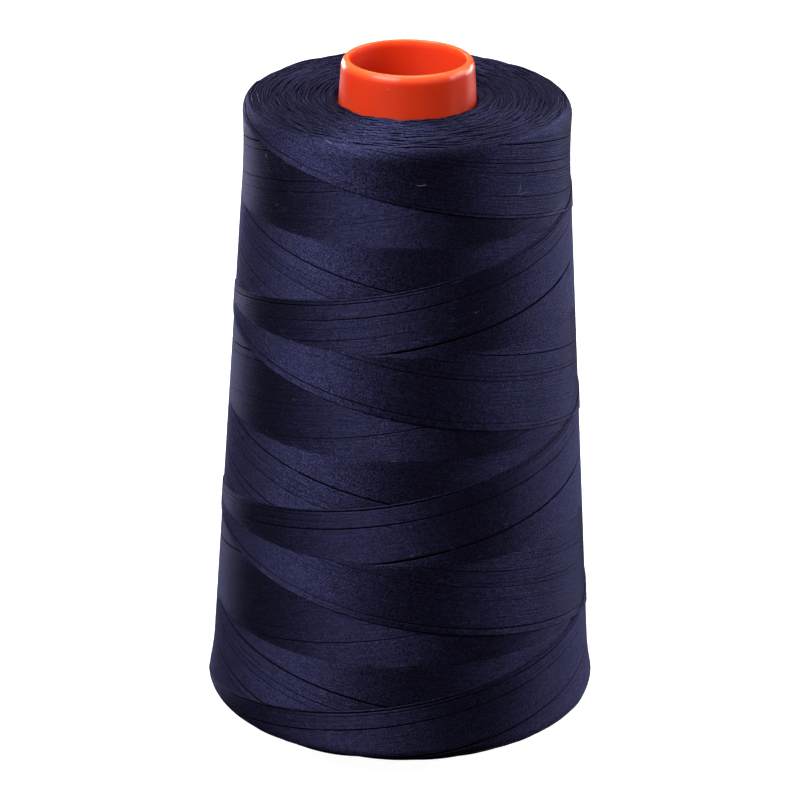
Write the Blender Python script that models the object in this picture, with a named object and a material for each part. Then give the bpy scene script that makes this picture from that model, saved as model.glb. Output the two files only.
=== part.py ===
"""A large cone of sewing thread, as three separate solids.

cone_core       the moulded plastic cone: rounded nose, tapered barrel and beaded foot, open right through
start_winding   the first turns of thread, laid on the bare core just above the foot
thread_package  the cross-wound body of thread, which leaves the nose and the foot bare

The origin is the centre of the foot's bottom face, and +Z runs up the axis to the nose. Lengths are in metres.
"""
import math

import bmesh
import bpy

# Driving dimensions of the core.
CORE_HEIGHT = 0.125
HALF_ANGLE = math.radians(3.5)
NOSE_RADIUS = 0.01172
CORE_WALL = 0.0014
NOSE_ROUND_WIDTH = 0.00105
NOSE_ROUND_HEIGHT = 0.0018
NOSE_INNER_ROUND = 0.0003
FOOT_BEAD_HEIGHT = 0.0018
FOOT_BEAD_DEPTH = 0.0009
FOOT_EDGE_ROUND = 0.0004

# Driving dimensions of the wound thread.
PACKAGE_BOTTOM = 0.004
PACKAGE_TOP = 0.11796
PACKAGE_HALF_ANGLE = math.radians(3.6)
PACKAGE_SIDE_RADIUS = 0.03548
BASE_FLARE = 0.00051
BASE_FLARE_HEIGHT = 0.0072
BASE_ROUND_WIDTH = 0.0017
BASE_ROUND_HEIGHT = 0.0024
SHOULDER_FLARE = 0.00066
SHOULDER_FLARE_HEIGHT = 0.0123
SHOULDER_ROUND = 0.0026
INNER_ROUND = 0.0014
START_WINDING_BOTTOM = 0.0021
START_WINDING_TOP = 0.0037
START_WINDING_DEPTH = 0.00045

# The gap that keeps neighbouring solids apart.
CLEARANCE = 0.0003

# How finely round shapes are divided.
SEGMENTS = 72
LONG_SIDE_STEPS = 6
PACKAGE_SIDE_STEPS = 20
CORNER_STEPS = 6

# Finishes: linear colour, roughness and metallic value.
ORANGE_PLASTIC = ((0.62, 0.055, 0.014, 1.0), 0.28, 0.0)
NAVY_THREAD = ((0.022, 0.020, 0.075, 1.0), 0.85, 0.0)


def clear_scene():
    """Remove every object that the scene starts with."""
    for item in list(bpy.data.objects):
        bpy.data.objects.remove(item, do_unlink=True)


def make_material(name, finish):
    """A plain Principled material from a colour, a roughness and a metallic value."""
    colour, roughness, metallic = finish
    material = bpy.data.materials.new(name)
    material.use_nodes = True
    shader = material.node_tree.nodes["Principled BSDF"]
    shader.inputs["Base Color"].default_value = colour
    shader.inputs["Roughness"].default_value = roughness
    shader.inputs["Metallic"].default_value = metallic
    material.diffuse_color = colour
    return material


def core_radius(height):
    """Outer radius of the core's plain taper at a height above the foot."""
    return NOSE_RADIUS + (CORE_HEIGHT - height) * math.tan(HALF_ANGLE)


def bore_radius(height):
    """Inner radius of the core at a height above the foot."""
    return core_radius(height) - CORE_WALL


def straight(start, end, steps):
    """Points that divide a straight stretch, without its end point."""
    points = []
    for step in range(steps):
        share = step / steps
        points.append((start[0] + share * (end[0] - start[0]), start[1] + share * (end[1] - start[1])))
    return points


def rounding(centre, width, height, start_degrees, end_degrees, steps):
    """Points along part of an ellipse about a centre, both ends included."""
    points = []
    for step in range(steps + 1):
        angle = math.radians(start_degrees + (end_degrees - start_degrees) * step / steps)
        points.append((centre[0] + width * math.cos(angle), centre[1] + height * math.sin(angle)))
    return points


def lathe(name, profile, material):
    """Turn a closed outline of (radius, height) points about Z into one closed solid."""
    bm = bmesh.new()
    outline = [bm.verts.new((radius, 0.0, height)) for radius, height in profile]
    edges = []
    for index, vertex in enumerate(outline):
        edges.append(bm.edges.new((vertex, outline[(index + 1) % len(outline)])))
    bmesh.ops.spin(
        bm,
        geom=outline + edges,
        cent=(0.0, 0.0, 0.0),
        axis=(0.0, 0.0, 1.0),
        angle=math.tau,
        steps=SEGMENTS,
        use_merge=True,
    )
    bmesh.ops.remove_doubles(bm, verts=bm.verts, dist=1e-6)
    bmesh.ops.recalc_face_normals(bm, faces=bm.faces)
    mesh = bpy.data.meshes.new(name)
    bm.to_mesh(mesh)
    bm.free()
    mesh.shade_smooth()
    mesh.set_sharp_from_angle(angle=math.radians(35.0))
    mesh.materials.append(material)
    solid = bpy.data.objects.new(name, mesh)
    bpy.context.collection.objects.link(solid)
    return solid


def core_profile():
    """Section of the core: foot, bead, outer taper, rounded nose, and the bore back down."""
    foot_outer = core_radius(0.0) + FOOT_BEAD_DEPTH
    edge = FOOT_EDGE_ROUND
    profile = rounding((bore_radius(edge) + edge, edge), edge, edge, 180.0, 270.0, 3)
    bead_lower = (foot_outer - edge, edge)
    profile += rounding(bead_lower, edge, edge, -90.0, 0.0, 3)
    bead_middle = FOOT_BEAD_HEIGHT - FOOT_BEAD_DEPTH
    bead_upper = (foot_outer - FOOT_BEAD_DEPTH, bead_middle)
    profile += rounding(bead_upper, FOOT_BEAD_DEPTH, FOOT_BEAD_DEPTH, 10.0, 80.0, 4)

    taper_bottom = (core_radius(FOOT_BEAD_HEIGHT), FOOT_BEAD_HEIGHT)
    taper_top = CORE_HEIGHT - NOSE_ROUND_HEIGHT
    profile += straight(taper_bottom, (core_radius(taper_top), taper_top), LONG_SIDE_STEPS)
    nose_centre = (core_radius(taper_top) - NOSE_ROUND_WIDTH, taper_top)
    profile += rounding(nose_centre, NOSE_ROUND_WIDTH, NOSE_ROUND_HEIGHT, 0.0, 90.0, CORNER_STEPS)

    inner_height = CORE_HEIGHT - NOSE_INNER_ROUND
    inner_radius = bore_radius(inner_height)
    inner_centre = (inner_radius + NOSE_INNER_ROUND, inner_height)
    profile += rounding(inner_centre, NOSE_INNER_ROUND, NOSE_INNER_ROUND, 105.0, 180.0, 3)
    bore = straight((inner_radius, inner_height), (bore_radius(edge), edge), LONG_SIDE_STEPS)
    return profile + bore[1:]


def start_winding_profile():
    """Section of the starting turns: a thin band that follows the core's taper."""
    middle = (START_WINDING_TOP + START_WINDING_BOTTOM) / 2
    half_height = (START_WINDING_TOP - START_WINDING_BOTTOM) / 2
    half_depth = START_WINDING_DEPTH / 2
    flat = half_height - half_depth
    profile = []
    for centre_height, start_degrees in ((middle - flat, 180.0), (middle + flat, 0.0)):
        centre = (core_radius(centre_height) + CLEARANCE + half_depth, centre_height)
        profile += rounding(centre, half_depth, half_depth, start_degrees, start_degrees + 180.0, 6)
    return profile


def package_radius(height):
    """Outer radius of the wound side: a straight taper that flares a little towards both ends."""
    taper = PACKAGE_SIDE_RADIUS - (height - PACKAGE_BOTTOM) * math.tan(PACKAGE_HALF_ANGLE)
    above_base = (height - PACKAGE_BOTTOM - BASE_ROUND_HEIGHT) / BASE_FLARE_HEIGHT
    below_shoulder = (PACKAGE_TOP - SHOULDER_ROUND - height) / SHOULDER_FLARE_HEIGHT
    base_flare = BASE_FLARE * max(0.0, 1.0 - above_base) ** 2
    shoulder_flare = SHOULDER_FLARE * max(0.0, 1.0 - below_shoulder) ** 2
    return taper + base_flare + shoulder_flare


def package_profile():
    """Section of the wound thread: flat end faces with rounded edges, and a side that flares at its ends."""
    side_bottom = PACKAGE_BOTTOM + BASE_ROUND_HEIGHT
    side_top = PACKAGE_TOP - SHOULDER_ROUND
    base_centre = (package_radius(side_bottom) - BASE_ROUND_WIDTH, side_bottom)
    shoulder_centre = (package_radius(side_top) - SHOULDER_ROUND, side_top)
    lower = rounding(base_centre, BASE_ROUND_WIDTH, BASE_ROUND_HEIGHT, -90.0, 0.0, CORNER_STEPS)
    upper = rounding(shoulder_centre, SHOULDER_ROUND, SHOULDER_ROUND, 0.0, 90.0, CORNER_STEPS)
    side = []
    for step in range(1, PACKAGE_SIDE_STEPS):
        height = side_bottom + (side_top - side_bottom) * step / PACKAGE_SIDE_STEPS
        side.append((package_radius(height), height))

    inner_top = PACKAGE_TOP - INNER_ROUND
    inner_bottom = PACKAGE_BOTTOM + INNER_ROUND
    inner_top_radius = core_radius(inner_top) + CLEARANCE
    inner_bottom_radius = core_radius(inner_bottom) + CLEARANCE
    top_centre = (inner_top_radius + INNER_ROUND, inner_top)
    bottom_centre = (inner_bottom_radius + INNER_ROUND, inner_bottom)
    inner_upper = rounding(top_centre, INNER_ROUND, INNER_ROUND, 90.0, 180.0, CORNER_STEPS)
    inner_lower = rounding(bottom_centre, INNER_ROUND, INNER_ROUND, 180.0, 270.0, CORNER_STEPS)

    profile = straight(inner_lower[-1], lower[0], 3)
    profile += lower + side + upper
    profile += straight(upper[-1], inner_upper[0], 3)[1:]
    profile += inner_upper
    profile += straight(inner_upper[-1], inner_lower[0], LONG_SIDE_STEPS)[1:]
    return profile + inner_lower[:-1]


clear_scene()
core_material = make_material("orange_plastic", ORANGE_PLASTIC)
thread_material = make_material("navy_thread", NAVY_THREAD)
lathe("cone_core", core_profile(), core_material)
lathe("start_winding", start_winding_profile(), thread_material)
lathe("thread_package", package_profile(), thread_material)
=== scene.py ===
"""Looks for a large cone of sewing thread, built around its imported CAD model.

The outermost layer of thread is laid the way a winding machine lays it. The machine carries the thread up
and down the package in STROKES double strokes, while the package turns almost exactly a whole number of times
in each one. So every stroke lies beside the one before, and two fronts, one rising and one falling, creep
round the package. A strand shows where it is newer than the strand of the other direction that crosses it
there, and only those stretches are made.

Lengths are in metres. The angle phi runs round the axis from the side that faces the camera (-Y) towards +X.
"""
import math

import bmesh
import bpy
import numpy as np
from mathutils import Matrix, Vector


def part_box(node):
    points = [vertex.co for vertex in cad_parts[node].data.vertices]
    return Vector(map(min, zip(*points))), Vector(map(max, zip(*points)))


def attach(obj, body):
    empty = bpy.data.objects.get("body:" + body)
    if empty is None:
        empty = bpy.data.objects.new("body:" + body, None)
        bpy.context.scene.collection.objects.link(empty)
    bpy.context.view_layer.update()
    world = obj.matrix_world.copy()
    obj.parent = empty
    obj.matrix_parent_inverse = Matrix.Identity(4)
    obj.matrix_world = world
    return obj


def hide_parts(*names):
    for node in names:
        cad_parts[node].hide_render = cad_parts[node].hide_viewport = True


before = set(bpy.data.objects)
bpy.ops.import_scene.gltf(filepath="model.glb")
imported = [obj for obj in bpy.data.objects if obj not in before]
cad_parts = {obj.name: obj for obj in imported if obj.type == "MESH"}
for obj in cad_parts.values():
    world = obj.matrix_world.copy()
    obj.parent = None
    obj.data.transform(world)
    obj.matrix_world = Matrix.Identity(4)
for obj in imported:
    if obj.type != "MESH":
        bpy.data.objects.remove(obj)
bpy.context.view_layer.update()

MM = 0.001

# Camera: where it stands, how far it looks down, is rolled and is turned, in radians, and its lens, in mm.
CAMERA_PLACE = (0.0, -0.605, 0.3143)
CAMERA_DOWN = 0.3983
CAMERA_ROLL = 0.0124
CAMERA_TURN = -0.0011
CAMERA_SENSOR = 36.0
CAMERA_LENS = 161.8

# The core's outline, as in the CAD solid.
CORE_HALF_ANGLE = math.radians(3.5)
NOSE_RADIUS = 11.72 * MM
CORE_WALL = 1.4 * MM
NOSE_ROUND_WIDTH = 1.05 * MM
NOSE_ROUND_HEIGHT = 1.8 * MM
NOSE_INNER_ROUND = 0.3 * MM
FOOT_EDGE_ROUND = 0.4 * MM
FOOT_BEAD_HEIGHT = 1.8 * MM
CORE_SEGMENTS = 192
TAPER_STEPS = 24

# The wound package's outline, as in the CAD solid.
PACKAGE_HALF_ANGLE = math.radians(3.6)
PACKAGE_SIDE_RADIUS = 35.48 * MM
BASE_FLARE = 0.51 * MM
BASE_FLARE_HEIGHT = 7.2 * MM
BASE_ROUND_WIDTH = 1.7 * MM
BASE_ROUND_HEIGHT = 2.4 * MM
SHOULDER_FLARE = 0.66 * MM
SHOULDER_FLARE_HEIGHT = 12.3 * MM
SHOULDER_ROUND = 2.6 * MM
INNER_ROUND = 1.4 * MM
INNER_ROUND_STEPS = 16
OUTER_ROUND_STEPS = 24
SIDE_POINTS = 400
OUTLINE_PLACES = 4000
NORMAL_WINDOW = 9

# The winding of the outermost layer. A stroke falls short of a whole number of turns by CREEP, so that the
# next one of its direction lies beside it.
STROKES = 160
CREEP = 0.5 / STROKES
TURNS = 3.0 - CREEP
TOP_OVERRUN = 1.5 * MM
BOTTOM_OVERRUN = 0.9 * MM
TURN_SOFTNESS = 1.6 * MM
NEWEST_TURN = math.radians(-107.0)
PATH_STEP = math.radians(3.0)
MARGIN_STEPS = 4

# One strand: its half width, half height, and how much a fresh strand stands above an old one.
HALF_WIDTH = 0.145 * MM
HALF_HEIGHT = 0.12 * MM
LAYER_STEP = 0.22 * MM
STRAND_SIDES = 6

# How the end of a visible stretch dips under the strands that cross it.
TUCKED_STEPS = 2
TUCK_STEP = 0.16 * MM

# How far a strand strays from its place, in strand spacings: an offset, and two waves, each with the range of
# its rate along the strand and a phase drawn from a full cycle. Its crest varies a little in height too.
STRAY = 0.10
SLOW_WANDER = 0.10
SLOW_RATE = (0.5, 1.1)
QUICK_WANDER = 0.08
QUICK_RATE = (1.8, 3.2)
FULL_CYCLE = 6.3
CREST_VARIATION = 0.006 * MM

# Strands that strayed while they were wound, leaving a dark gap: the stroke, counted back from the newest,
# and the gap in strand spacings. SMALL_GAPS more are hairline gaps at random strokes.
LOOSE_RISING = (
    (1, 1.5), (3, 1.3), (14, 1.0), (30, 0.9), (44, 1.4), (49, 0.9), (71, 1.0), (104, 1.1), (126, 0.8),
)
LOOSE_FALLING = ((5, 1.2), (16, 0.7), (38, 0.9), (50, 1.0), (57, 1.3), (76, 1.2), (94, 1.4), (121, 0.9))
SMALL_GAPS = 16
SMALL_GAP_RANGE = (0.5, 0.8)

# A gap opens and closes along its stroke, but one wider than STEADY_GAP never closes. The strands on its
# two sides share it, and the next ones close up again within about GAP_REACH strokes.
STEADY_GAP = 1.25
GAP_OPENNESS = 0.45
GAP_SWING = 0.75
GAP_RATE = 0.9
GAP_NEWER_SHARE = 0.65
GAP_OLDER_SHARE = 0.35
GAP_REACH = 6.0

random = np.random.default_rng(7)


# --- shapes of the core and of the package --------------------------------------------------------

core_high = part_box("cone_core")[1]


def core_radius(height):
    """Outer radius of the core's plain taper."""
    return NOSE_RADIUS + (core_high.z - height) * math.tan(CORE_HALF_ANGLE)


def bore_radius(height):
    """Inner radius of the core."""
    return core_radius(height) - CORE_WALL


def rounding(centre, width, height, start_degrees, end_degrees, steps):
    """Points along part of an ellipse about a centre, both ends included."""
    angles = np.radians(np.linspace(start_degrees, end_degrees, steps + 1))
    return [(centre[0] + width * math.cos(a), centre[1] + height * math.sin(a)) for a in angles]


class Package:
    """The outline of the wound thread: bottom face, base, flared and tapered side, shoulder and top face.

    A place on it is a distance along the outline from the bottom of the side: negative round the base and
    along the bottom face towards the core, and past the top of the side round the shoulder and along the top
    face.
    """

    def __init__(self):
        low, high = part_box("thread_package")
        self.bottom, self.top = low.z, high.z
        self.side_bottom = self.bottom + BASE_ROUND_HEIGHT
        self.side_top = self.top - SHOULDER_ROUND
        base_centre = (self.side_radius(self.side_bottom) - BASE_ROUND_WIDTH, self.side_bottom)
        shoulder_centre = (self.side_radius(self.side_top) - SHOULDER_ROUND, self.side_top)
        inner_top = self.top - INNER_ROUND
        inner_bottom = self.bottom + INNER_ROUND
        top_centre = (core_radius(inner_top) + INNER_ROUND, inner_top)
        bottom_centre = (core_radius(inner_bottom) + INNER_ROUND, inner_bottom)
        side_heights = np.linspace(self.side_bottom, self.side_top, SIDE_POINTS)
        parts = [
            rounding(bottom_centre, INNER_ROUND, INNER_ROUND, 180.0, 270.0, INNER_ROUND_STEPS),
            rounding(base_centre, BASE_ROUND_WIDTH, BASE_ROUND_HEIGHT, -90.0, 0.0, OUTER_ROUND_STEPS),
            [(self.side_radius(height), float(height)) for height in side_heights[1:-1]],
            rounding(shoulder_centre, SHOULDER_ROUND, SHOULDER_ROUND, 0.0, 90.0, OUTER_ROUND_STEPS),
            rounding(top_centre, INNER_ROUND, INNER_ROUND, 90.0, 180.0, INNER_ROUND_STEPS),
        ]
        outline = np.array([point for part in parts for point in part])
        counts = np.cumsum([len(part) for part in parts])
        lengths = np.concatenate([[0.0], np.cumsum(np.hypot(*np.diff(outline, axis=0).T))])
        lengths -= lengths[counts[1] - 1]
        self.bottom_end, self.top_end = lengths[0], lengths[-1]
        self.bottom_edge = lengths[counts[0]]
        self.side = lengths[counts[2]]
        self.top_edge = lengths[counts[3] - 1]
        self.places = np.linspace(self.bottom_end, self.top_end, OUTLINE_PLACES)
        self.radii = np.interp(self.places, lengths, outline[:, 0])
        self.heights = np.interp(self.places, lengths, outline[:, 1])
        self.radial = self.softened(np.gradient(self.heights))
        self.vertical = self.softened(-np.gradient(self.radii))
        size = np.hypot(self.radial, self.vertical)
        self.radial /= size
        self.vertical /= size

    def softened(self, values):
        """A running average, so that the outline's normals turn smoothly."""
        padded = np.pad(values, NORMAL_WINDOW // 2, mode="edge")
        return np.convolve(padded, np.ones(NORMAL_WINDOW) / NORMAL_WINDOW, mode="valid")

    def side_radius(self, height):
        """Radius of the wound side: a straight taper that flares a little towards both ends."""
        taper = PACKAGE_SIDE_RADIUS - (height - self.bottom) * math.tan(PACKAGE_HALF_ANGLE)
        near_base = max(0.0, 1.0 - (height - self.side_bottom) / BASE_FLARE_HEIGHT)
        near_shoulder = max(0.0, 1.0 - (self.side_top - height) / SHOULDER_FLARE_HEIGHT)
        return taper + BASE_FLARE * near_base ** 2 + SHOULDER_FLARE * near_shoulder ** 2

    def at_height(self, height):
        """The place at which the side, or its straight run beyond the roundings, has a height."""
        return (height - self.side_bottom) / math.cos(PACKAGE_HALF_ANGLE)

    def surface(self, place, lift):
        """Radius, height and outward normal (radial, vertical) at places, lifted off the outline."""
        place = np.asarray(place, float)
        radial = np.interp(place, self.places, self.radial)
        vertical = np.interp(place, self.places, self.vertical)
        radius = np.interp(place, self.places, self.radii) + lift * radial
        height = np.interp(place, self.places, self.heights) + lift * vertical
        return radius, height, radial, vertical


package = Package()
TOP_TURN = package.at_height(package.top + TOP_OVERRUN)
BOTTOM_TURN = package.at_height(package.bottom - BOTTOM_OVERRUN)
LEAD = (TOP_TURN - BOTTOM_TURN) / TURNS
RISE = LEAD / math.tau
PITCH = LEAD / STROKES
STROKE_ANGLE = math.tau * TURNS


# --- strands as closed tubes ----------------------------------------------------------------------

class Tubes:
    """Closed tubes, gathered into one mesh, with a UV map that runs along and round each strand."""

    def __init__(self):
        self.points = []
        self.faces = []
        self.caps = []
        self.uvs = []
        self.count = 0

    def add(self, phi, place, lift, half_width=HALF_WIDTH, half_height=HALF_HEIGHT, slim=None):
        """A strand through points given by angle, place on the outline, and height of its crest above it."""
        radius, height, radial, vertical = package.surface(place, lift - half_height)
        centre = np.stack([radius * np.sin(phi), -radius * np.cos(phi), height], 1)
        normal = np.stack([radial * np.sin(phi), -radial * np.cos(phi), vertical], 1)
        self.sweep(centre, normal, half_width, half_height, slim)

    def sweep(self, centre, normal, half_width, half_height, slim=None):
        """A tube about centre points, flattened along the normals, with flat caps on its ends."""
        along = np.gradient(centre, axis=0)
        along /= np.linalg.norm(along, axis=1, keepdims=True)
        across = np.cross(normal, along)
        across /= np.linalg.norm(across, axis=1, keepdims=True)
        upward = np.cross(along, across)
        angles = -math.pi / 2 + math.tau * np.arange(STRAND_SIDES) / STRAND_SIDES
        size = np.ones(len(centre)) if slim is None else slim
        ring = centre[:, None, :] \
            + half_width * (size[:, None] * np.cos(angles)[None, :])[:, :, None] * across[:, None, :] \
            + half_height * (size[:, None] * np.sin(angles)[None, :])[:, :, None] * upward[:, None, :]
        steps = len(centre)
        travelled = np.concatenate([[0.0], np.cumsum(np.linalg.norm(np.diff(centre, axis=0), axis=1))])
        travelled += random.uniform(0.0, 1.0)

        row, side = np.meshgrid(np.arange(steps - 1), np.arange(STRAND_SIDES), indexing="ij")
        beside = (side + 1) % STRAND_SIDES
        corners = np.stack([
            row * STRAND_SIDES + side,
            row * STRAND_SIDES + beside,
            (row + 1) * STRAND_SIDES + beside,
            (row + 1) * STRAND_SIDES + side,
        ], -1).reshape(-1, 4)
        u = np.stack([travelled[row], travelled[row], travelled[row + 1], travelled[row + 1]], -1)
        v = np.stack([side, side + 1, side + 1, side], -1) / STRAND_SIDES
        self.points.append(ring.reshape(-1, 3))
        self.faces.append(corners + self.count)
        self.uvs.append(np.stack([u, v], -1).reshape(-1, 2))
        self.caps.append(self.count + np.arange(STRAND_SIDES)[::-1])
        self.caps.append(self.count + (steps - 1) * STRAND_SIDES + np.arange(STRAND_SIDES))
        self.count += steps * STRAND_SIDES

    def build(self, name, material):
        """One smooth mesh object of all the tubes."""
        quads = np.concatenate(self.faces)
        caps = np.array(self.caps)
        mesh = bpy.data.meshes.new(name)
        corners = np.concatenate([quads.ravel(), caps.ravel()])
        mesh.vertices.add(self.count)
        mesh.vertices.foreach_set("co", np.concatenate(self.points).astype(np.float32).ravel())
        mesh.loops.add(len(corners))
        mesh.loops.foreach_set("vertex_index", corners.astype(np.int32))
        starts = np.concatenate([
            np.arange(len(quads)) * 4,
            len(quads) * 4 + np.arange(len(caps)) * STRAND_SIDES,
        ])
        mesh.polygons.add(len(starts))
        mesh.polygons.foreach_set("loop_start", starts.astype(np.int32))
        mesh.update(calc_edges=True)
        uvs = np.concatenate(self.uvs + [np.zeros((caps.size, 2))])
        layer = mesh.uv_layers.new(name="Strand")
        layer.data.foreach_set("uv", uvs.astype(np.float32).ravel())
        mesh.shade_smooth()
        mesh.validate()
        mesh.materials.append(material)
        tubes = bpy.data.objects.new(name, mesh)
        bpy.context.collection.objects.link(tubes)
        return tubes


# --- the outermost layer --------------------------------------------------------------------------

def place_on_stroke(delta):
    """Place on the outline of a strand that is delta radians of winding away from its turn at the top."""
    near_top = TOP_TURN - np.sqrt((RISE * delta) ** 2 + TURN_SOFTNESS ** 2)
    near_bottom = BOTTOM_TURN + np.sqrt((RISE * (STROKE_ANGLE - delta)) ** 2 + TURN_SOFTNESS ** 2)
    return np.where(delta < STROKE_ANGLE / 2, near_top, near_bottom)


def gap_shift(stroke, delta, loose, phases):
    """How far a strand is pushed along the outline by the gaps that loose strands left near it."""
    shift = np.zeros(delta.shape)
    for (gap_stroke, gap), phase in zip(loose, phases):
        steady = GAP_SWING if gap > STEADY_GAP else 0.0
        openness = GAP_OPENNESS + steady + GAP_SWING * np.sin(GAP_RATE * delta + phase)
        opening = gap * PITCH * np.clip(openness, 0.0, 1.0)
        if stroke < gap_stroke:
            shift += GAP_NEWER_SHARE * opening * math.exp(-(gap_stroke - 1 - stroke) / GAP_REACH)
        else:
            shift -= GAP_OLDER_SHARE * opening * math.exp(-(stroke - gap_stroke) / GAP_REACH)
    return shift


def with_small_gaps(loose):
    """The listed gaps, and a few hairline ones at random strokes."""
    strokes = random.choice(STROKES, SMALL_GAPS, replace=False)
    return loose + tuple(zip(strokes, random.uniform(*SMALL_GAP_RANGE, SMALL_GAPS)))


def wander(delta):
    """How far one strand strays, in strand spacings: an offset, a slow wave and a quick one."""
    offset = STRAY * random.normal()
    slow = SLOW_WANDER * np.sin(delta * random.uniform(*SLOW_RATE) + random.uniform(0, FULL_CYCLE))
    quick = QUICK_WANDER * np.sin(delta * random.uniform(*QUICK_RATE) + random.uniform(0, FULL_CYCLE))
    return offset + slow + quick


def visible_runs(shown):
    """Start and end of each run of True that is at least two steps long."""
    edges = np.flatnonzero(np.diff(np.concatenate([[0], shown.astype(int), [0]])))
    runs = []
    for start, end in zip(edges[::2], edges[1::2]):
        if end - start >= 2:
            runs.append((start, end))
    return runs


def lay_strokes(rising, tubes_by_band):
    """Lay every stroke of one direction, keeping only the stretches that show."""
    loose = with_small_gaps(LOOSE_RISING if rising else LOOSE_FALLING)
    phases = random.uniform(0.0, math.tau, len(loose))
    steps = int(round(STROKE_ANGLE / PATH_STEP))
    delta = np.arange(-MARGIN_STEPS, steps + MARGIN_STEPS + 1) * STROKE_ANGLE / steps
    for stroke in range(STROKES):
        # Ages run from 0, just laid, to 1, a whole layer ago: this strand's, and those of what it crosses.
        age = stroke / STROKES
        turning = NEWEST_TURN + math.tau * age
        other = np.mod(age - delta / math.pi if rising else age + delta / math.pi + CREEP, 1.0)
        shown = other > age
        phi = turning - delta if rising else turning + delta
        place = place_on_stroke(delta) + PITCH * wander(delta)
        shift = gap_shift(stroke, delta, loose, phases)
        place = place + shift if rising else place - shift
        lift = LAYER_STEP * (1.0 - age) + LAYER_STEP * (1.0 - other) - LAYER_STEP
        lift += CREST_VARIATION * random.normal()
        for start, end in visible_runs(shown):
            first, last = max(start - TUCKED_STEPS, 0), min(end + TUCKED_STEPS, len(delta))
            index = np.arange(first, last)
            held = np.clip(index, start, end - 1)
            depth = np.maximum(start - index, index - (end - 1)).clip(0) * TUCK_STEP
            run_lift = lift[held] - depth
            middle = place[index].mean()
            band = min(int(3 * middle / package.side), 2) if middle > 0 else 0
            tubes_by_band[band].add(phi[index], place[index], run_lift)


def layer_height(phi, place):
    """Height of the newest strands' crests above the package's outline, at any angle and place on it."""
    upper = np.sqrt(np.clip((TOP_TURN - place) ** 2 - TURN_SOFTNESS ** 2, 0.0, None)) / RISE
    lower = np.sqrt(np.clip((place - BOTTOM_TURN) ** 2 - TURN_SOFTNESS ** 2, 0.0, None)) / RISE
    delta = np.where(place > (TOP_TURN + BOTTOM_TURN) / 2, upper, STROKE_ANGLE - lower)
    rising_age = np.mod((phi - NEWEST_TURN + delta) / math.tau, 1.0)
    falling_age = np.mod((phi - NEWEST_TURN - delta) / math.tau, 1.0)
    return LAYER_STEP * (1.0 - rising_age - falling_age)


# --- the end faces --------------------------------------------------------------------------------

# The rings of turning arcs: their spacing, the arcs in one and how much that varies, and the share of the
# rings that goes into the outer one of a face's two pieces.
RING_SPACING = 0.25 * MM
ARCS_PER_RING = 26
RING_FULLNESS = (0.75, 1.1)
OUTER_SHARE = 0.45

# How far short of the newest strands' turn the first ring lies.
FIRST_RING = 0.2 * MM

# One arc: its half span in radians and a constant reach on top, and how far it leans, strays and bows. It is
# moved along its ring by up to ARC_SHIFT of the arcs' spacing.
ARC_HALF_SPAN = (0.16, 0.32)
ARC_REACH = 1.2 * MM
ARC_STEP = 0.95 * MM
ARC_LEAST_POINTS = 7
ARC_SHIFT = 0.35
ARC_LEAN = 0.35 * MM
ARC_STRAY = 0.12 * MM
ARC_BOW = 0.4
ARC_HALF_WIDTH = HALF_WIDTH * 1.4
ARC_HALF_HEIGHT = HALF_HEIGHT * 1.15

# How deep arcs lie: their mean depth, its spread, the highest crest, and how much they drop from the turn.
ARC_DEPTH = 0.08 * MM
ARC_DEPTH_SPREAD = 0.15 * MM
ARC_HIGHEST = 0.14 * MM
ARC_SINK = 0.8


def lay_end_face(outer, inner, first_place, last_place):
    """Lay the turning arcs of all the layers, ring beside ring, from the rounded edge in to the core."""
    rings = int(abs(last_place - first_place) / RING_SPACING)
    inward = math.copysign(1.0, last_place - first_place)
    limit = last_place - inward * HALF_WIDTH
    for ring in range(rings + 1):
        ring_place = first_place + (limit - first_place) * ring / rings
        radius = float(package.surface(ring_place, 0.0)[0])
        arcs = int(round(ARCS_PER_RING * random.uniform(*RING_FULLNESS)))
        begin = random.uniform(0.0, math.tau)
        tubes = outer if ring < OUTER_SHARE * rings else inner
        for arc in range(arcs):
            middle = begin + math.tau * (arc + random.uniform(-ARC_SHIFT, ARC_SHIFT)) / arcs
            half_span = random.uniform(*ARC_HALF_SPAN) + ARC_REACH / radius
            points = max(int(2 * half_span * radius / ARC_STEP), ARC_LEAST_POINTS)
            delta = np.linspace(-half_span, half_span, points)
            lean = random.normal() * ARC_LEAN
            offset = random.normal() * ARC_STRAY + lean * delta - ARC_BOW * radius * (1 - np.cos(delta))
            place = ring_place + inward * offset
            place = np.minimum(place, limit) if inward > 0 else np.maximum(place, limit)
            sink = np.sqrt((RISE * delta) ** 2 + TURN_SOFTNESS ** 2) - TURN_SOFTNESS
            lift = min(ARC_DEPTH_SPREAD * random.normal() - ARC_DEPTH, ARC_HIGHEST) - ARC_SINK * sink
            tubes.add(middle + delta, place, lift, ARC_HALF_WIDTH, ARC_HALF_HEIGHT)


# --- solids turned about the axis -----------------------------------------------------------------

SHARP_ANGLE = math.radians(40.0)


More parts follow.
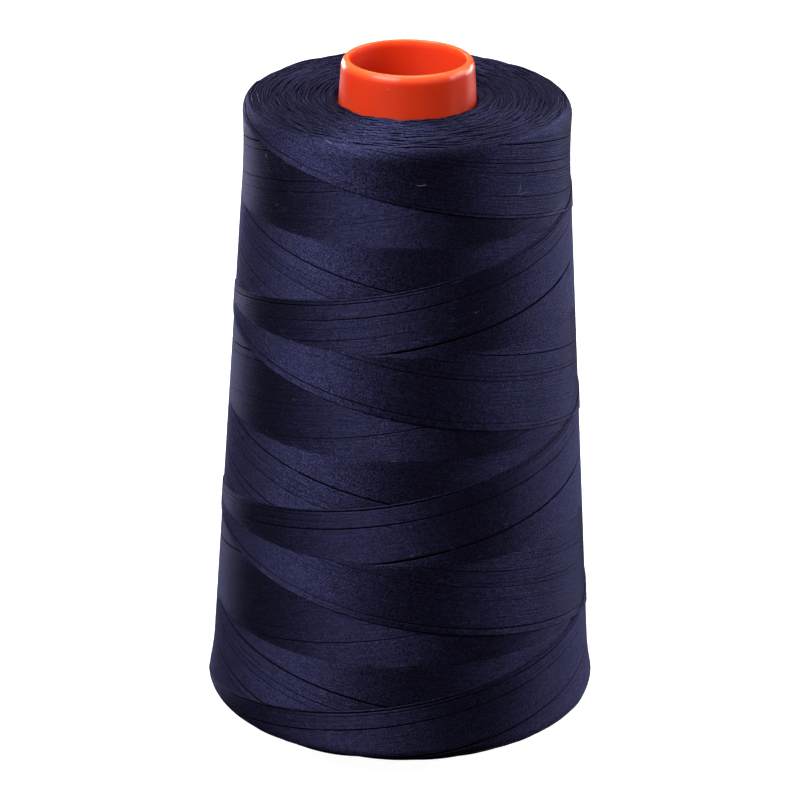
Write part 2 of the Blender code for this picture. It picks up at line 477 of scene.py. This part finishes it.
def grid_object(name, rings, material):
    """A closed ring-shaped mesh: rings is an array of sections, one after another round the axis."""
    count, size = rings.shape[:2]
    column, row = np.meshgrid(np.arange(count), np.arange(size), indexing="ij")
    beyond, after = (column + 1) % count, (row + 1) % size
    faces = np.stack([
        column * size + row,
        beyond * size + row,
        beyond * size + after,
        column * size + after,
    ], -1).reshape(-1, 4)
    mesh = bpy.data.meshes.new(name)
    mesh.from_pydata(rings.reshape(-1, 3).tolist(), [], faces.tolist())
    bm = bmesh.new()
    bm.from_mesh(mesh)
    bmesh.ops.recalc_face_normals(bm, faces=bm.faces)
    bm.to_mesh(mesh)
    bm.free()
    mesh.shade_smooth()
    mesh.set_sharp_from_angle(angle=SHARP_ANGLE)
    mesh.materials.append(material)
    solid = bpy.data.objects.new(name, mesh)
    bpy.context.collection.objects.link(solid)
    return solid


def turned(name, outline, material, segments):
    """A closed outline of (radius, height) points, turned about Z."""
    outline = np.array(outline)
    phi = math.tau * np.arange(segments)[:, None] / segments
    radius = outline[None, :, 0]
    height = np.broadcast_to(outline[None, :, 1], (segments, len(outline)))
    rings = np.stack([radius * np.sin(phi), -radius * np.cos(phi), height], -1)
    return grid_object(name, rings, material)


# The older thread: its level against the outermost crests, its gap to the core, and how it is divided.
UNDER_LIFT = -0.43 * MM
UNDER_GAP = 0.05 * MM
UNDER_SEGMENTS = 240
UNDER_SIDE_POINTS = 150
UNDER_FACE_POINTS = 14
UNDER_INNER_POINTS = 8


def build_under_layer(material):
    """The mass of older thread under the outermost strands, which shows only in the gaps between them."""
    side = np.linspace(package.bottom_edge, package.top_edge, UNDER_SIDE_POINTS)
    top_face = np.linspace(package.top_edge, package.top_end, UNDER_FACE_POINTS)[1:]
    bottom_face = np.linspace(package.bottom_end, package.bottom_edge, UNDER_FACE_POINTS)[:-1]
    places = np.concatenate([bottom_face, side, top_face])
    rings = []
    for step in range(UNDER_SEGMENTS):
        phi = math.tau * step / UNDER_SEGMENTS
        crest = layer_height(phi, places)
        crest = np.where((places > side[2]) & (places < side[-3]), crest, -LAYER_STEP / 2)
        radius, height, _, _ = package.surface(places, crest + UNDER_LIFT)
        radius = np.maximum(radius, core_radius(height) + UNDER_GAP)
        inner_heights = np.linspace(height[-1], height[0], UNDER_INNER_POINTS)[1:-1]
        inner = core_radius(inner_heights) + UNDER_GAP
        radius = np.concatenate([radius, inner])
        height = np.concatenate([height, inner_heights])
        rings.append(np.stack([radius * math.sin(phi), -radius * math.cos(phi), height], 1))
    return grid_object("under_layer", np.array(rings), material)


# --- the plastic core -----------------------------------------------------------------------------

def build_core(material):
    """The moulded cone: beaded foot, taper, rounded nose and bore."""
    top = core_high.z
    edge = FOOT_EDGE_ROUND
    bead = core_high.x - core_radius(0.0)
    outline = rounding((bore_radius(edge) + edge, edge), edge, edge, 180.0, 270.0, 5)
    outline += rounding((core_high.x - edge, edge), edge, edge, -90.0, 0.0, 5)
    outline += rounding((core_high.x - bead, FOOT_BEAD_HEIGHT - bead), bead, bead, 8.0, 82.0, 7)
    lip_start = top - NOSE_ROUND_HEIGHT
    for height in np.linspace(FOOT_BEAD_HEIGHT, lip_start, TAPER_STEPS)[:-1]:
        outline.append((float(core_radius(height)), float(height)))
    nose = (float(core_radius(lip_start)) - NOSE_ROUND_WIDTH, lip_start)
    outline += rounding(nose, NOSE_ROUND_WIDTH, NOSE_ROUND_HEIGHT, 0.0, 90.0, 14)
    inner_height = top - NOSE_INNER_ROUND
    inner = (float(bore_radius(inner_height)) + NOSE_INNER_ROUND, inner_height)
    outline += rounding(inner, NOSE_INNER_ROUND, NOSE_INNER_ROUND, 92.0, 180.0, 7)
    for height in np.linspace(inner_height, edge, TAPER_STEPS)[1:-1]:
        outline.append((float(bore_radius(height)), float(height)))
    return turned("core", outline, material, CORE_SEGMENTS)


# The round mark that an ejector pin left on the front of the nose.
MARK_ANGLE = math.radians(-16.3)
MARK_BELOW_RIM = 2.6 * MM
MARK_RADIUS = 0.36 * MM
MARK_HEIGHT = 0.04 * MM
MARK_STEPS = 24

# Its section from the edge in to the dot: the share of its radius, and the rise in mark heights.
MARK_SECTION = ((1.0, -1.2), (0.9, 0.6), (0.72, 1.0), (0.5, 0.2), (0.34, 0.3), (0.2, 1.3))


def build_mould_mark(material):
    """A low ring with a dot in it, standing on the nose."""
    height = core_high.z - MARK_BELOW_RIM
    radius = float(core_radius(height))
    out = Vector((math.sin(MARK_ANGLE), -math.cos(MARK_ANGLE), 0.0))
    beside = Vector((math.cos(MARK_ANGLE), math.sin(MARK_ANGLE), 0.0))
    bm = bmesh.new()
    rings = []
    for share, rise in MARK_SECTION:
        ring = []
        for step in range(MARK_STEPS):
            angle = math.tau * step / MARK_STEPS
            sideways = MARK_RADIUS * share * math.cos(angle)
            lift = MARK_HEIGHT * rise + math.sqrt(radius ** 2 - sideways ** 2)
            up = height + MARK_RADIUS * share * math.sin(angle)
            ring.append(bm.verts.new(out * lift + beside * sideways + Vector((0.0, 0.0, up))))
        rings.append(ring)
    for outer, inner in zip(rings, rings[1:]):
        for step in range(MARK_STEPS):
            after = (step + 1) % MARK_STEPS
            bm.faces.new((outer[step], outer[after], inner[after], inner[step]))
    bm.faces.new(rings[-1])
    bm.faces.new(list(reversed(rings[0])))
    bmesh.ops.recalc_face_normals(bm, faces=bm.faces)
    mesh = bpy.data.meshes.new("mould_mark")
    bm.to_mesh(mesh)
    bm.free()
    mesh.shade_smooth()
    mesh.materials.append(material)
    mark = bpy.data.objects.new("mould_mark", mesh)
    bpy.context.collection.objects.link(mark)
    return mark


# --- the first turns of thread --------------------------------------------------------------------

START_TURNS = 3.4
START_STEPS_PER_TURN = 90
START_GAP = 0.02 * MM
START_WIDTH_SHARE = 0.92


def build_start_winding(material):
    """The first turns, wound side by side on the bare core just above its foot."""
    low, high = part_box("start_winding")
    tubes = Tubes()
    phi = np.linspace(0.0, math.tau * START_TURNS, int(START_TURNS * START_STEPS_PER_TURN))
    height = np.linspace(low.z + HALF_WIDTH, high.z - HALF_WIDTH, len(phi))
    radius = core_radius(height) + HALF_HEIGHT + START_GAP
    centre = np.stack([radius * np.sin(phi), -radius * np.cos(phi), height], 1)
    normal = np.stack([np.sin(phi), -np.cos(phi), np.zeros(len(phi))], 1)
    tubes.sweep(centre, normal, HALF_WIDTH * START_WIDTH_SHARE, HALF_HEIGHT)
    return tubes.build("first_turns", material)


# --- loose fibres ---------------------------------------------------------------------------------

# Loose fibres: how many, their radius, and ranges in mm of half length and of how far they stand out.
FIBRES = 600
FIBRE_RADIUS = 0.014 * MM
FIBRE_HALF_LENGTH = (0.3, 1.0)
FIBRE_STAND = (0.05, 0.45)
FIBRE_BEND = 0.3 * MM
FIBRE_HEADING = 0.6
FIBRE_SUNK = 0.02 * MM
FIBRE_THINNING = 0.7


def build_fibres(material):
    """Short curved hairs of spun fibre that stand out of the strands."""
    tubes = Tubes()
    share = np.linspace(-1.0, 1.0, 7)
    for _ in range(FIBRES):
        place = random.uniform(0.0, package.top_edge)
        phi = random.uniform(0.0, math.tau)
        length = random.uniform(*FIBRE_HALF_LENGTH) * MM
        heading = random.normal() * FIBRE_HEADING
        radius = float(package.surface(place, 0.0)[0])
        bend = random.normal() * FIBRE_BEND
        angle = phi + (length * math.cos(heading) * share + bend * share ** 2) / radius
        along = place + length * math.sin(heading) * share + bend * (1.0 - share ** 2)
        crest = float(layer_height(phi, np.array(place)))
        lift = crest + random.uniform(*FIBRE_STAND) * MM * (1.0 - share ** 2) - FIBRE_SUNK
        tubes.add(angle, along, lift, FIBRE_RADIUS, FIBRE_RADIUS, 1.0 - FIBRE_THINNING * share ** 2)
    return tubes.build("loose_fibres", material)


# Specks of lint: angle in degrees, height in mm, length in mm, and heading in degrees from level.
LINT = (
    (61, 102.0, 8.0, 2), (42, 108.5, 2.0, 75), (44, 107.5, 2.6, -12), (-28, 117.8, 1.8, -15),
    (-23, 117.8, 1.2, 20), (5, 111.5, 1.8, 0), (-3, 61.5, 0.6, 20), (3, 44.0, 0.6, 60), (-50, 104.0, 0.7, 30),
    (-57, 112.0, 0.8, -60), (24, 88.0, 0.9, 10), (-38, 70.0, 0.6, -35), (33, 58.0, 0.7, 80),
    (150, 80.0, 4.0, 15), (-130, 60.0, 3.0, -20), (112, 48.0, 2.0, 40), (-165, 98.0, 0.9, 65),
    (-95, 33.0, 1.2, 5),
)
LINT_RADIUS = 0.026 * MM
LINT_BEND = 0.06
LINT_THINNING = 0.6


def build_lint(material):
    """Pale bits of lint that lie on the thread."""
    tubes = Tubes()
    share = np.linspace(-1.0, 1.0, 15)
    for degrees, height, length, heading in LINT:
        phi = math.radians(degrees)
        place = package.at_height(height * MM)
        radius = float(package.surface(place, 0.0)[0])
        tilt = math.radians(heading)
        reach = 0.5 * length * MM * share
        bend = LINT_BEND * length * MM * np.sin(2.4 * share + degrees)
        angle = phi + (reach * math.cos(tilt) - bend * math.sin(tilt)) / radius
        along = place + reach * math.sin(tilt) + bend * math.cos(tilt)
        lift = layer_height(angle, along) + 2.0 * LINT_RADIUS
        lift = np.full(len(share), lift.max())
        tubes.add(angle, along, lift, LINT_RADIUS, LINT_RADIUS, 1.0 - LINT_THINNING * share ** 4)
    return tubes.build("lint", material)


# --- materials ------------------------------------------------------------------------------------

class Nodes:
    """Short calls for building a material's node tree."""

    def __init__(self, name):
        self.material = bpy.data.materials.new(name)
        self.material.use_nodes = True
        self.tree = self.material.node_tree
        self.shader = self.tree.nodes["Principled BSDF"]

    def node(self, kind, **settings):
        """A new node of a kind, with some of its settings."""
        made = self.tree.nodes.new("ShaderNode" + kind)
        for key, value in settings.items():
            setattr(made, key, value)
        return made

    def link(self, source, target):
        """Join an output to an input."""
        self.tree.links.new(source, target)

    def fill(self, socket, value):
        """Give an input a value, or the output that it takes its value from."""
        if isinstance(value, bpy.types.NodeSocket):
            self.link(value, socket)
        else:
            socket.default_value = value

    def place(self):
        """The point on the surface, in the object's own frame."""
        return self.node("TexCoord").outputs["Object"]

    def colour(self, source):
        """Drive the surface's colour."""
        self.link(source, self.shader.inputs["Base Color"])

    def maths(self, operation, first, second=0.0, third=0.0):
        """The result of an operation on up to three values."""
        made = self.node("Math", operation=operation)
        for socket, value in zip(made.inputs, (first, second, third)):
            self.fill(socket, value)
        return made.outputs[0]

    def noise(self, vector, scale, detail=2.0, roughness=0.5):
        """A soft random pattern, from 0 to 1."""
        made = self.node("TexNoise")
        made.inputs["Scale"].default_value = scale
        made.inputs["Detail"].default_value = detail
        made.inputs["Roughness"].default_value = roughness
        self.link(vector, made.inputs["Vector"])
        return made.outputs["Fac"]

    def blend(self, share, first, second):
        """A mix of two colours."""
        made = self.node("Mix", data_type="RGBA")
        for name, value in (("Factor_Float", share), ("A_Color", first), ("B_Color", second)):
            socket = next(item for item in made.inputs if item.identifier == name)
            self.fill(socket, value)
        return next(item for item in made.outputs if item.identifier == "Result_Color")

    def bump(self, height, distance, strength):
        """Relief finer than the mesh, from a height pattern."""
        made = self.node("Bump")
        made.inputs["Distance"].default_value = distance
        made.inputs["Strength"].default_value = strength
        self.link(height, made.inputs["Height"])
        self.link(made.outputs["Normal"], self.shader.inputs["Normal"])

    def set(self, **values):
        """Set the shader's own sockets, named with underscores for spaces."""
        for key, value in values.items():
            self.shader.inputs[key.replace("_", " ")].default_value = value


# The twist of the thread, and its two tones. The light tone marks both random fibre grain and painted glint.
PLIES = 3
TWIST_LENGTH = 1.26 * MM
THREAD_DARK = (0.005, 0.0042, 0.0090, 1.0)
THREAD_LIGHT = (0.075, 0.078, 0.220, 1.0)

# What its grain is made of, and the contrast of the sum. The bead part is painted light: a painted glint
# on each strand's crest where the plies cross it, and painted shade down its sides. The fibre, drift and
# speck parts are random tone.
PAINTED_GLINT_WEIGHT = 2.2
FIBRE_WEIGHT = 1.3
DRIFT_WEIGHT = 0.25
SPECK_WEIGHT = 5.0
GRAIN_AND_GLINT_GAIN = 0.55
GRAIN_AND_GLINT_OFFSET = -2.12
GRAIN_AND_GLINT_POWER = 1.7

# How metal-like the reflection is: at no grain or glint, how fast it grows with them, and at most.
LEAST_GLOSS = 0.4
GLOSS_GAIN = 2.5
MOST_GLOSS = 0.97


def thread_material(name, shade, lean):
    """Navy spun thread: three twisted plies, fine fibre grain, and a colour that drifts a little along it.

    The fibres lean away from the strand because the thread is twisted. That adds to the slope of one
    direction of winding and takes from the other, so the two catch the light at different places and
    strengths. Each direction also gets its own copy of this material with its light tone scaled: the
    rising copy's is dimmed, painted shade that makes it look less lit. Part of the grain is painted light
    too: a painted glint along each strand's crest where the plies cross it, and painted shade down its
    sides. Dyed fibre tints its highlight, which the part-metallic reflection stands for, and dark grain
    reflects less.
    """
    make = Nodes(name)
    uv = make.node("UVMap", uv_map="Strand")
    parts = make.node("SeparateXYZ")
    make.link(uv.outputs["UV"], parts.inputs[0])
    turns = make.maths("MULTIPLY", parts.outputs[0], PLIES / TWIST_LENGTH)
    lobes = make.maths("MULTIPLY", parts.outputs[1], float(PLIES))
    phase = make.maths("MULTIPLY", make.maths("ADD", turns, lobes), math.tau)
    ply = make.maths("MULTIPLY_ADD", make.maths("SINE", phase), 0.5, 0.5)
    # Painted light and shade across each strand: none on its underside, most on its crest.
    round_strand = make.maths("MULTIPLY", parts.outputs[1], math.tau)
    painted_crest_light = make.maths("MULTIPLY_ADD", make.maths("COSINE", round_strand), -0.5, 0.5)

    stretch = make.node("CombineXYZ")
    make.link(make.maths("MULTIPLY", parts.outputs[0], 2400.0), stretch.inputs[0])
    make.link(make.maths("ADD", lobes, turns), stretch.inputs[1])
    fibre = make.noise(stretch.outputs[0], 1.6, 2.0, 0.6)

    place = make.place()
    drift = make.noise(place, 110.0, 3.0, 0.6)
    speck = make.noise(place, 4000.0, 1.0, 0.5)
    # Painted glint: the ply pattern, kept to the strand's crest.
    bead = make.maths("MULTIPLY", ply, painted_crest_light)
    share = make.maths("MULTIPLY", bead, PAINTED_GLINT_WEIGHT)
    share = make.maths("MULTIPLY_ADD", fibre, FIBRE_WEIGHT, share)
    share = make.maths("MULTIPLY_ADD", drift, DRIFT_WEIGHT, share)
    share = make.maths("MULTIPLY_ADD", speck, SPECK_WEIGHT, share)
    share = make.maths("MAXIMUM", make.maths("MULTIPLY_ADD", share, GRAIN_AND_GLINT_GAIN, GRAIN_AND_GLINT_OFFSET), 0.0)
    share = make.maths("POWER", share, GRAIN_AND_GLINT_POWER)
    # Painted shade: the light tone is scaled for each copy of the material, dimmed in the rising one.
    light = tuple(part * shade for part in THREAD_LIGHT[:3]) + (1.0,)
    make.colour(make.blend(share, THREAD_DARK, light))
    gloss = make.maths("MULTIPLY_ADD", share, GLOSS_GAIN, LEAST_GLOSS)
    make.link(make.maths("MINIMUM", gloss, MOST_GLOSS), make.shader.inputs["Metallic"])

    make.bump(make.maths("MULTIPLY_ADD", fibre, 0.4, ply), 0.010 * MM, 1.0)
    tangent = make.node("Tangent", direction_type="UV_MAP", uv_map="Strand")
    make.link(tangent.outputs[0], make.shader.inputs["Tangent"])
    make.set(Specular_IOR_Level=0.1, Roughness=0.6)
    make.set(Anisotropic=0.7, Anisotropic_Rotation=0.25 - lean / 360.0)
    make.set(Sheen_Weight=0.028, Sheen_Roughness=0.5)
    make.shader.inputs["Sheen Tint"].default_value = (0.5, 0.42, 0.62, 1.0)
    make.shader.inputs["Specular Tint"].default_value = (0.55, 0.55, 0.7, 1.0)
    return make.material


def under_material():
    """Thread seen deep in a gap: near-black navy, painted shade, with a faint grain across it."""
    make = Nodes("shaded_deep_thread")
    grain = make.noise(make.place(), 1500.0, 2.0, 0.6)
    # Painted shade: both tones are kept near black so that the gaps look shadowed.
    make.colour(make.blend(grain, (0.001, 0.001, 0.003, 1.0), (0.004, 0.0035, 0.011, 1.0)))
    make.bump(grain, 0.1 * MM, 0.6)
    make.set(Roughness=0.9, Specular_IOR_Level=0.08)
    return make.material


def fibre_material():
    """Pale stray fibres."""
    make = Nodes("stray_fibre")
    drift = make.noise(make.place(), 300.0)
    make.colour(make.blend(drift, (0.03, 0.028, 0.08, 1.0), (0.16, 0.15, 0.3, 1.0)))
    make.set(Roughness=0.6, Specular_IOR_Level=0.4)
    return make.material


def lint_material():
    """Pale grey lint."""
    make = Nodes("pale_lint")
    drift = make.noise(make.place(), 900.0)
    make.colour(make.blend(drift, (0.08, 0.08, 0.14, 1.0), (0.36, 0.35, 0.42, 1.0)))
    make.set(Roughness=0.8, Specular_IOR_Level=0.3)
    return make.material


# How far down from the rim the painted light reaches.
RIM_DEPTH = 1.6 * MM


def plastic_material(name, translucence):
    """Orange moulded plastic: translucent, with flow marks and a brushed gloss, and painted light that
    makes it paler towards its rim.
    """
    make = Nodes(name)
    place = make.place()
    flow = make.noise(place, 120.0, 3.0, 0.55)
    body = make.blend(flow, (0.49, 0.034, 0.008, 1.0), (0.57, 0.046, 0.011, 1.0))
    parts = make.node("SeparateXYZ")
    make.link(place, parts.inputs[0])
    # Painted light: the colour turns paler over the top RIM_DEPTH, up to the rim.
    painted_rim_light = make.node("MapRange", interpolation_type="SMOOTHSTEP")
    painted_rim_light.inputs["From Min"].default_value = core_high.z - RIM_DEPTH
    painted_rim_light.inputs["From Max"].default_value = core_high.z
    make.link(parts.outputs["Z"], painted_rim_light.inputs["Value"])
    make.colour(make.blend(painted_rim_light.outputs["Result"], body, (0.85, 0.13, 0.04, 1.0)))
    fine = make.noise(place, 900.0, 3.0, 0.6)
    make.link(make.maths("MULTIPLY_ADD", fine, 0.1, 0.25), make.shader.inputs["Roughness"])
    height = make.maths("MULTIPLY_ADD", flow, 1.0, make.maths("MULTIPLY", fine, 0.25))
    make.bump(height, 0.03 * MM, 0.5)
    tangent = make.node("Tangent", direction_type="RADIAL", axis="Z")
    make.link(tangent.outputs[0], make.shader.inputs["Tangent"])
    make.set(Specular_IOR_Level=0.26, Anisotropic=0.7, Anisotropic_Rotation=0.25)
    make.set(Subsurface_Weight=translucence, Subsurface_Scale=6.0 * MM)
    make.shader.inputs["Subsurface Radius"].default_value = (1.0, 0.3, 0.12)
    return make.material


def floor_material():
    """A plain pale sweep with a barely visible paper grain."""
    make = Nodes("pale_floor")
    grain = make.noise(make.place(), 60.0, 3.0, 0.5)
    make.colour(make.blend(grain, (0.48, 0.48, 0.48, 1.0), (0.5, 0.5, 0.5, 1.0)))
    make.set(Roughness=0.9, Specular_IOR_Level=0.1, Emission_Strength=0.98)
    make.shader.inputs["Emission Color"].default_value = (1.0, 1.0, 1.0, 1.0)
    return make.material


# --- camera, floor and light ----------------------------------------------------------------------

def build_camera():
    """The camera stands in front and looks down; its roll is the lean of the picture."""
    forward = Vector((
        math.sin(CAMERA_TURN) * math.cos(CAMERA_DOWN),
        math.cos(CAMERA_TURN) * math.cos(CAMERA_DOWN),
        -math.sin(CAMERA_DOWN),
    ))
    level = forward.cross(Vector((0.0, 0.0, 1.0))).normalized()
    upright = level.cross(forward)
    right = math.cos(CAMERA_ROLL) * level + math.sin(CAMERA_ROLL) * upright
    above = -math.sin(CAMERA_ROLL) * level + math.cos(CAMERA_ROLL) * upright
    data = bpy.data.cameras.new("camera")
    data.sensor_width = CAMERA_SENSOR
    data.lens = CAMERA_LENS
    data.clip_start = 0.01
    data.clip_end = 20.0
    camera = bpy.data.objects.new("camera", data)
    bpy.context.collection.objects.link(camera)
    turn = Matrix((right, above, -forward)).transposed().to_4x4()
    camera.matrix_world = Matrix.Translation(CAMERA_PLACE) @ turn
    bpy.context.scene.camera = camera


FLOOR_REACH = 3.0


def build_floor(material):
    """A large pale floor under the foot, which adds no light to the object."""
    mesh = bpy.data.meshes.new("floor")
    corners = [(FLOOR_REACH * x, FLOOR_REACH * y, 0.0) for x, y in ((-1, -1), (1, -1), (1, 1), (-1, 1))]
    mesh.from_pydata(corners, [], [(0, 1, 2, 3)])
    mesh.materials.append(material)
    floor = bpy.data.objects.new("floor", mesh)
    bpy.context.collection.objects.link(floor)
    floor.visible_diffuse = False
    floor.visible_glossy = False


def build_softbox(name, place, width, height, power):
    """A rectangular soft light that faces the middle of the object."""
    data = bpy.data.lights.new(name, "AREA")
    data.shape = "RECTANGLE"
    data.size = width
    data.size_y = height
    data.energy = power
    light = bpy.data.objects.new(name, data)
    bpy.context.collection.objects.link(light)
    target = Vector((0.0, 0.0, core_high.z / 2))
    light.location = place
    light.rotation_mode = "QUATERNION"
    light.rotation_quaternion = (target - Vector(place)).to_track_quat("-Z", "Y")


def build_world(front, back):
    """A faint light from the room, stronger behind the object than in front of it."""
    world = bpy.data.worlds.new("studio")
    world.use_nodes = True
    tree = world.node_tree
    background = tree.nodes["Background"]
    direction = tree.nodes.new("ShaderNodeTexCoord")
    parts = tree.nodes.new("ShaderNodeSeparateXYZ")
    tree.links.new(direction.outputs["Generated"], parts.inputs[0])
    spread = tree.nodes.new("ShaderNodeMapRange")
    spread.interpolation_type = "SMOOTHSTEP"
    spread.inputs["From Min"].default_value = -0.3
    spread.inputs["From Max"].default_value = 0.8
    spread.inputs["To Min"].default_value = front
    spread.inputs["To Max"].default_value = back
    tree.links.new(parts.outputs["Y"], spread.inputs["Value"])
    tree.links.new(spread.outputs["Result"], background.inputs["Strength"])
    bpy.context.scene.world = world


def around(azimuth, elevation, distance):
    """A point round the object: azimuth runs from the camera's side towards +X, in degrees."""
    turn, up = math.radians(azimuth), math.radians(elevation)
    middle = core_high.z / 2
    return (
        distance * math.sin(turn) * math.cos(up),
        -distance * math.cos(turn) * math.cos(up),
        middle + distance * math.sin(up),
    )


# --- putting it together --------------------------------------------------------------------------

build_camera()
build_floor(floor_material())
build_world(front=0.01, back=0.03)
# Each softbox: where it stands, its width and height in metres, and its power in watts.
build_softbox("key_softbox", around(-46.0, 50.0, 0.52), 0.33, 0.19, 4.2)
build_softbox("right_softbox", around(102.0, 25.0, 0.7), 0.5, 0.25, 3.5)
build_softbox("band_softbox", around(83.0, 20.0, 0.7), 0.10, 0.3, 0.5)
build_softbox("right_strip", around(132.0, 4.0, 0.7), 0.36, 0.12, 2.1)
build_softbox("left_strip", around(-145.0, 4.0, 0.7), 0.3, 0.12, 2.3)
build_softbox("overhead_softbox", around(180.0, 62.0, 0.7), 0.3, 0.25, 2.6)
bpy.context.scene.view_settings.view_transform = "Standard"

# The rising copy's light tone is dimmed to 0.8: painted shade, so that direction looks less lit.
falling_thread = thread_material("falling_thread", shade=1.02, lean=15.0)
rising_thread = thread_material("rising_thread", shade=0.8, lean=11.0)

pieces = []
bands = ("lower", "middle", "upper")
for rising, direction, thread in ((True, "rising", rising_thread), (False, "falling", falling_thread)):
    gathered = [Tubes() for _ in bands]
    lay_strokes(rising, gathered)
    for band, tubes in zip(bands, gathered):
        pieces.append(tubes.build(f"{direction}_strands_{band}", thread))
end_faces = (
    ("top_face", TOP_TURN - TURN_SOFTNESS - FIRST_RING, package.top_end),
    ("bottom_face", BOTTOM_TURN + TURN_SOFTNESS + FIRST_RING, package.bottom_end),
)
for face, first_place, last_place in end_faces:
    outer, inner = Tubes(), Tubes()
    lay_end_face(outer, inner, first_place, last_place)
    pieces.append(outer.build(f"{face}_outer_strands", falling_thread))
    pieces.append(inner.build(f"{face}_inner_strands", falling_thread))
under = build_under_layer(under_material())
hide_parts("thread_package")
pieces.append(under)
first_turns = build_start_winding(falling_thread)
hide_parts("start_winding")
pieces.append(first_turns)
pieces.append(build_fibres(fibre_material()))
pieces.append(build_lint(lint_material()))
for piece in pieces:
    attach(piece, "root")

core = build_core(plastic_material("orange_plastic", translucence=0.8))
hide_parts("cone_core")
for piece in (core, build_mould_mark(plastic_material("orange_mark", translucence=0.0))):
    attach(piece, "root")
